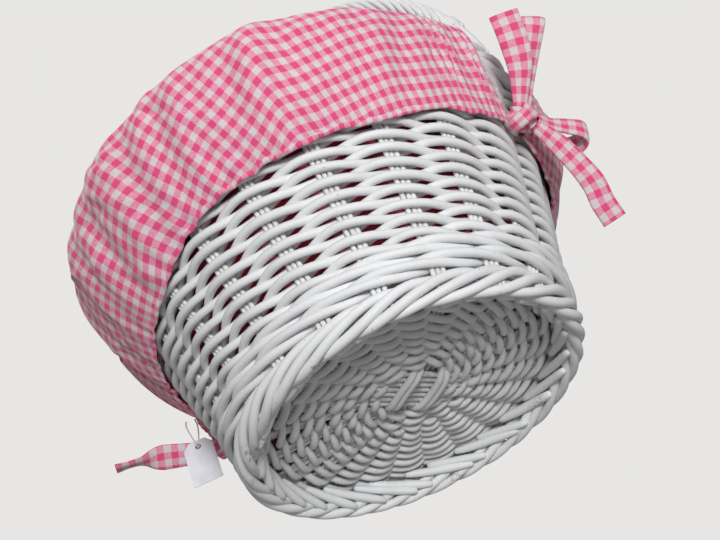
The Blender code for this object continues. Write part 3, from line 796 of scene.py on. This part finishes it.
def make_hem(name, skirt, edge_uv, material):
    """The skirt's narrow rolled hem: a flat tube along its lower edge."""
    verts = np.array([v.co for v in skirt.data.vertices])
    above = verts[-3 * SKIRT_COLUMNS:-2 * SKIRT_COLUMNS]
    verts = verts[-SKIRT_COLUMNS:]
    away = unit(verts - above)
    tangent = unit(np.gradient(verts, axis=0))
    out = unit(np.cross(tangent, away))
    turns = 2 * np.pi * np.arange(8) / 8
    rows = []
    for turn in list(turns) + [turns[0]]:
        rows.append(verts - away * HEM_INSET + away * HEM_WIDTH * math.cos(turn)
                    + out * HEM_THICKNESS * math.sin(turn))
    uv = np.array([edge_uv + [0.0, HEM_WIDTH * math.cos(turn)] for turn in list(turns) + [0.0]])
    return grid_object(name, np.array(rows), uv, material, thickness=0.0002)


LINER_FLOOR_Z, LINER_TOP_Z = 0.0300, 0.1862
LINER_DEPTH = 0.158             # flat length from the floor's seam to the rim
LINER_GIRTH = 2 * math.pi * 0.132                   # near the liner's mean radius
LINER_GAP = 0.0095              # the floor's edge stays this far inside the stakes


def make_liner_side(material):
    """The liner's inner wall: a hung sheet with soft upright folds."""
    rng = np.random.default_rng(77)
    columns, rows = 321, 44
    u = np.linspace(0, 1, columns)[None, :]
    v = np.linspace(0, 1, rows)[:, None]
    z = LINER_FLOOR_Z + (LINER_TOP_Z - LINER_FLOOR_Z) * v
    angle = 2 * np.pi * u + 0 * v
    folds = ripple(rng, u, 0.0012, (9, 14, 23, 31)) * (0.4 + 0.6 * v)
    offset = -0.0086 - np.abs(folds)
    points = wall_points(angle, z + 0 * u, offset)
    points[:, -1] = points[:, 0]
    uv = np.stack([u * LINER_GIRTH + 0 * v, v * LINER_DEPTH + 0 * u], axis=-1)
    return grid_object("liner_wall", points, uv, material)


def liner_floor_axes():
    a, b = wall_axes(LINER_FLOOR_Z)
    return float(a - LINER_GAP), float(b - LINER_GAP)


def make_liner_floor(material):
    """The liner's oval bottom, almost flat on the base."""
    rng = np.random.default_rng(79)
    rings, columns = 26, 97
    t = np.linspace(0, 1, rings)[:, None]
    angle = np.linspace(0, 2 * np.pi, columns)[None, :] + 0 * t
    a, b = liner_floor_axes()
    rise = ripple(rng, angle / (2 * np.pi), 0.0008, (3, 5, 7)) * t * (1 - t) * 4
    points = np.stack([a * t * np.cos(angle), b * t * np.sin(angle),
                       LINER_FLOOR_Z + 0.0001 + np.abs(rise)], axis=-1)
    points[:, -1] = points[:, 0]
    uv = points[..., :2].copy()
    return grid_object("liner_bottom", points, uv, material)


TIE = 0.018                     # a tie's full width
TIE_PUFF = 0.0006               # how much its middle swells on each side


def signed_power(value, power):
    return np.sign(value) * np.abs(value) ** power


def ribbon(name, route, widths, lean, material, thickness=0.0020, count=70):
    """A sewn tie: a flat double layer of cloth along the route.

    lean is the way its width lies, one direction or one for each route point.
    """
    path = through(route, count)
    width = np.interp(np.linspace(0, 1, count), np.linspace(0, 1, len(widths)), widths)
    along = unit(np.gradient(path, axis=0))
    lean = np.asarray(lean, float)
    if lean.ndim == 2:
        lean = through(lean, count)
    face = unit(np.cross(along, np.broadcast_to(lean, along.shape)))
    across = unit(np.cross(face, along))
    turns = 2 * np.pi * np.arange(17) / 16
    steps = np.linalg.norm(np.diff(path, axis=0), axis=1)
    run = np.concatenate([[0.0], np.cumsum(steps)])
    rng = np.random.default_rng(len(name))
    wave = ripple(rng, run / run[-1], 0.0009, (2, 3, 5))
    rows = []
    for turn in turns:
        flat = signed_power(math.cos(turn), 0.5)
        thick = thickness / 2 + TIE_PUFF * math.sin(turn) ** 2
        rows.append(path + across * (width / 2 * flat)[:, None]
                    + face * (thick * signed_power(math.sin(turn), 0.7)
                              + wave * flat)[:, None])
    crossed = np.abs(np.diff([signed_power(math.cos(turn), 0.5) for turn in turns]))
    place = np.concatenate([[0.0], np.cumsum(crossed)]) * TIE / 2
    uv = np.stack([place[:, None] + 0 * run[None, :], run[None, :] + 0 * place[:, None]],
                  axis=-1)
    return grid_object(name, np.array(rows), uv, material, thickness=0.0003)


def loop_ribbon(name, base, tip, side, opening, widths, material):
    """A bow's loop: out along one leg, round the tip and back to the knot."""
    base, tip = np.array(base), np.array(tip)
    along = tip - base
    length = np.linalg.norm(along)
    along = along / length
    across = unit(np.array(side, float))
    face = unit(np.cross(along, across))
    turn = np.linspace(0, np.pi, 21)
    reach = length * np.sin(turn) ** 0.75
    spread = opening * 0.5 * np.sin(2 * turn) * (0.30 + 0.70 * np.sin(turn))
    route = base + along * reach[:, None] - face * spread[:, None]
    route[0] += -face * 0.0012
    route[-1] += face * 0.0012
    return ribbon(name, route, widths, across, material, count=110)


def make_knot(name, centre, size, tilt, material):
    """A pulled knot: a creased core with a band of cloth drawn across it."""
    rows, columns = 33, 49
    polar = np.linspace(0.05, math.pi - 0.05, rows)[:, None]
    turn = np.linspace(0, 2 * np.pi, columns)[None, :]
    crease = 1 + 0.10 * np.sin(5 * turn + 3 * np.cos(polar)) * np.sin(polar)
    crease = crease + 0.05 * np.sin(9 * turn - 4 * polar)
    unit_points = np.stack([np.sin(polar) * np.cos(turn) * crease,
                            np.sin(polar) * np.sin(turn) * crease,
                            np.cos(polar) * crease + 0 * turn], axis=-1)
    points = unit_points * (np.array(size) * 0.47) + np.array(centre)
    uv = np.stack([turn / (2 * np.pi) * 0.055 + 0 * polar, polar / math.pi * 0.030 + 0 * turn],
                  axis=-1)
    core = grid_object(name, points, uv, material, thickness=0.0002)
    t = np.linspace(0, 2 * np.pi, 25)
    lean = np.array([0.0, math.cos(tilt), math.sin(tilt)])
    outward = np.array([1.0, 0.0, 0.0])
    third = np.cross(lean, outward)
    half = np.array(size) * 0.5
    route = []
    for value in t:
        direction = outward * math.cos(value) + third * math.sin(value)
        reach = 1.08 / math.sqrt(sum((direction / half) ** 2))
        route.append(np.array(centre) + direction * reach)
    widths = [0.0105 + 0.0015 * math.cos(2 * value) for value in t]
    normals = np.broadcast_to(lean, (len(route), 3))
    band = ribbon(name + "_band", np.array(route), widths, normals, material,
                  thickness=0.0016, count=80)
    return core, band


# ---- ties and tag ----
RIGHT_KNOT = np.array([0.158, -0.003, 0.120])
LEFT_KNOT = np.array([-0.152, 0.002, 0.090])
UP_LEAN = (0.69, 0.64, -0.35)   # the way the upper loop's and tail's width lies
LOOP_OPENING = 0.021
RIGHT_KNOT_SIZE, LEFT_KNOT_SIZE = (0.017, 0.022, 0.019), (0.018, 0.024, 0.020)


def make_ties(material):
    """The bow at +X, and the knotted ends at -X that the tag hangs from."""
    knots = {"bow_knot_right": (RIGHT_KNOT, RIGHT_KNOT_SIZE, -0.84),
             "tie_knot_left": (LEFT_KNOT, LEFT_KNOT_SIZE, -0.5)}
    for node, (centre, size, tilt) in knots.items():
        core, band = make_knot(node + "_cloth", centre, size, tilt, material)
        on_basket(core, "gingham", node)
        on_basket(band, "gingham")
    straps = {
        "bow_tail_up_right": (RIGHT_KNOT, [
            (0.0050, -0.0050, 0.0045), (0.0135, -0.0095, 0.0130), (0.0220, -0.0145, 0.0225),
            (0.0290, -0.0210, 0.0350), (0.0350, -0.0285, 0.0510)],
            (0.45, 0.65, 0.90, 1.05, 1.05), UP_LEAN),
        "bow_tail_down_right": (RIGHT_KNOT, [
            (0.0035, 0.0080, -0.0040), (0.0060, 0.0240, -0.0200), (0.0060, 0.0400, -0.0420),
            (0.0020, 0.0490, -0.0550), (0.0000, 0.0570, -0.0660)],
            (0.45, 0.75, 0.85, 0.88, 0.88), (0.92, 0.37, 0.09)),
        "tie_front_left": (LEFT_KNOT, [
            (-0.003, -0.0130, 0.0220), (-0.004, -0.0105, 0.0150), (-0.003, -0.006, 0.0060)],
            (0.9, 0.7, 0.5), (0.0, 1.0, 0.0)),
        "tie_back_left": (LEFT_KNOT, [
            (-0.003, 0.0130, 0.0220), (-0.004, 0.0105, 0.0150), (-0.003, 0.0070, 0.0060)],
            (0.7, 0.6, 0.45), (0.0, 1.0, 0.0)),
        "tie_tail_front_left": (LEFT_KNOT, [
            (-0.0085, -0.003, -0.001), (-0.021, -0.019, 0.000), (-0.032, -0.033, 0.002),
            (-0.044, -0.045, 0.004), (-0.056, -0.0565, 0.004)],
            (0.6, 0.9, 1.0, 0.75, 0.70),
            ((-0.5, 0.2, -0.8), (-0.64, 0.30, -0.71), (-0.64, 0.30, -0.71),
             (-0.60, 0.74, 0.20), (-0.61, 0.75, 0.17))),
        "tie_tail_back_left": (LEFT_KNOT, [
            (0.000, 0.0095, -0.003), (0.001, 0.020, -0.018), (0.001, 0.025, -0.032),
            (0.002, 0.029, -0.044)], (0.5, 0.8, 0.85, 0.85), (0.0, 1.0, 0.4)),
    }
    for node, (knot, route, widths, lean) in straps.items():
        points = [knot + np.array(p) for p in route]
        piece = ribbon(node + "_cloth", points, [w * TIE for w in widths], lean, material)
        on_basket(piece, "gingham", node)
    loops = {
        "bow_loop_up_right": ((0.0050, 0.0020, 0.0070), (0.0434, -0.0085, 0.0500), UP_LEAN),
        "bow_loop_side_right": ((0.0060, 0.0080, -0.0010), (0.0150, 0.0440, -0.0105),
                                (-0.30, -0.18, -0.94)),
    }
    widths = [TIE * (0.45 + 0.55 * math.sin(math.pi * i / 12)) for i in range(13)]
    for node, (base, tip, side) in loops.items():
        piece = loop_ribbon(node + "_cloth", RIGHT_KNOT + base, RIGHT_KNOT + tip, side,
                            LOOP_OPENING, widths, material)
        on_basket(piece, "gingham", node)


def make_tag(paper):
    """The frame's own card is flat and clean-edged enough to show as it is."""
    card = bpy.data.objects["tag_card"]
    card.data.materials.clear()
    card.data.materials.append(paper)


# ---- scene ----
WORLD_LIGHT, WORLD_SEEN = 0.26, 0.80                # its strength as light and to the camera
LIGHTS = (                      # name, place, target, size and watts
    ("key", (1.06, -1.38, -0.30), (0, 0, 0.06), 0.5, 24.5),
    ("top", (-0.3, -0.3, 1.9), (0, 0, 0.12), 1.4, 15.0),
    ("back", (-0.9, 1.5, 0.8), (0, 0, 0.15), 1.2, 9.0),
)
FLOOR_RADIUS = 3.0


def make_camera():
    data = bpy.data.cameras.new("camera")
    data.lens = 50.0
    data.sensor_width = 36.0
    camera = bpy.data.objects.new("camera", data)
    camera.location = CAMERA_PLACE
    camera.rotation_euler = [math.radians(v) for v in CAMERA_TURN]
    bpy.context.scene.collection.objects.link(camera)
    bpy.context.scene.camera = camera


def area_light(name, place, target, size, power):
    data = bpy.data.lights.new(name, "AREA")
    data.shape = "DISK"
    data.size = size
    data.energy = power
    light = bpy.data.objects.new(name, data)
    light.location = place
    direction = Vector(target) - Vector(place)
    light.rotation_euler = direction.to_track_quat("-Z", "Y").to_euler()
    bpy.context.scene.collection.objects.link(light)


def make_world():
    """Pale surroundings: bright to the camera, softer as light."""
    world = bpy.data.worlds.new("studio")
    world.use_nodes = True
    tree = world.node_tree
    background = tree.nodes["Background"]
    background.inputs["Color"].default_value = (1.0, 0.99, 0.98, 1.0)
    path = tree.nodes.new("ShaderNodeLightPath")
    strength = tree.nodes.new("ShaderNodeMix")
    strength.inputs[2].default_value = WORLD_LIGHT
    strength.inputs[3].default_value = WORLD_SEEN
    tree.links.new(path.outputs["Is Camera Ray"], strength.inputs[0])
    tree.links.new(strength.outputs[0], background.inputs["Strength"])
    bpy.context.scene.world = world
    bpy.context.scene.view_settings.view_transform = "Standard"


def make_floor():
    """A plain pale floor under the foot, seen only from above."""
    bm = bmesh.new()
    bmesh.ops.create_circle(bm, cap_ends=True, segments=96, radius=FLOOR_RADIUS)
    mesh = bpy.data.meshes.new("floor")
    bm.to_mesh(mesh)
    bm.free()
    floor = bpy.data.objects.new("floor", mesh)
    bpy.context.scene.collection.objects.link(floor)
    n = Nodes("pale_floor")
    place = n.node("ShaderNodeTexCoord").outputs["Object"]
    mottle = n.noise(place, 6.0, 3.0, 0.5)
    n.link(n.mix(mottle, (0.84, 0.84, 0.84, 1.0), (0.88, 0.88, 0.88, 1.0)),
           n.shader.inputs["Base Color"])
    n.shader.inputs["Roughness"].default_value = 0.85
    clear = n.node("ShaderNodeBsdfTransparent")
    side = n.node("ShaderNodeNewGeometry")
    mixed = n.node("ShaderNodeMixShader")
    n.link(side.outputs["Backfacing"], mixed.inputs[0])
    n.link(n.shader.outputs[0], mixed.inputs[1])
    n.link(clear.outputs[0], mixed.inputs[2])
    output = n.tree.nodes["Material Output"]
    n.link(mixed.outputs[0], output.inputs["Surface"])
    mesh.materials.append(n.material)
    floor.visible_shadow = False
    floor.visible_diffuse = False
    floor.visible_glossy = False


def main():
    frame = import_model()
    make_camera()

    thread, thread_points, thread_length = make_thread(thread_material("thread"))
    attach(thread, "price_tag")
    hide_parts("tag_thread")

    willow = willow_material("white_willow")
    foot_willow = willow_material("white_willow_foot", wear_height=0.014)
    gingham = gingham_material("pink_gingham")

    woven = [
        (make_stakes(willow), [f"stakes_{i + 1:02d}" for i in range(STAKES)]),
        (make_side(willow), [f"side_weaving_{i + 1}" for i in range(5)]),
        (make_base(willow), ["base_weaving", "base_sticks", "slath_binding_back",
                             "slath_binding_front"]),
        (make_lapping(willow), ["handle_lapping"]),
        (make_handle_ends(willow), ["handle_band_left", "handle_band_right",
                                    "handle_root_rods_left", "handle_root_rods_right"]),
    ]
    foot_wale, rim_wale = make_wales(foot_willow, willow)
    foot_rope, rim_rope = make_borders(foot_willow, willow)
    woven += [(foot_wale, ["foot_waling"]), (rim_wale, ["rim_waling"]),
              (foot_rope, ["foot_border"]), (rim_rope, ["rim_border"])]
    for piece, nodes in woven:
        on_basket(piece, "willow", *nodes)
    core = frame["nodes"]["handle_core"]
    core.data.materials.clear()
    core.data.materials.append(willow)

    clear = math.asin(HANDLE_GAP / RIM_A)
    skirts = {"skirt_front": (math.pi + clear, 2 * math.pi - clear, 5),
              "skirt_back": (clear, math.pi - clear, 8)}
    for node, (start, end, seed) in skirts.items():
        skirt, flat, edge_uv = make_skirt(node, start, end, gingham, seed)
        hem = make_hem(node + "_hem", skirt, edge_uv, gingham)
        on_basket(skirt, "gingham", node)
        on_basket(hem, "gingham")

    # the liner wall's outer face gets the darker rose as painted shade for the gap behind the
    # weave, and its inner face the gingham
    wall = make_liner_side(shaded_lining_material("rose_lining_painted_shade"))
    wall.data.materials.append(gingham)
    wall.modifiers["thickness"].material_offset = 1
    floor_cloth = make_liner_floor(gingham)
    on_basket(wall, "gingham", "liner_side")
    on_basket(floor_cloth, "gingham", "liner_floor")

    make_ties(gingham)
    make_tag(paper_material("tag_paper"))

    make_floor()
    make_world()
    for light in LIGHTS:
        area_light(*light)


main()
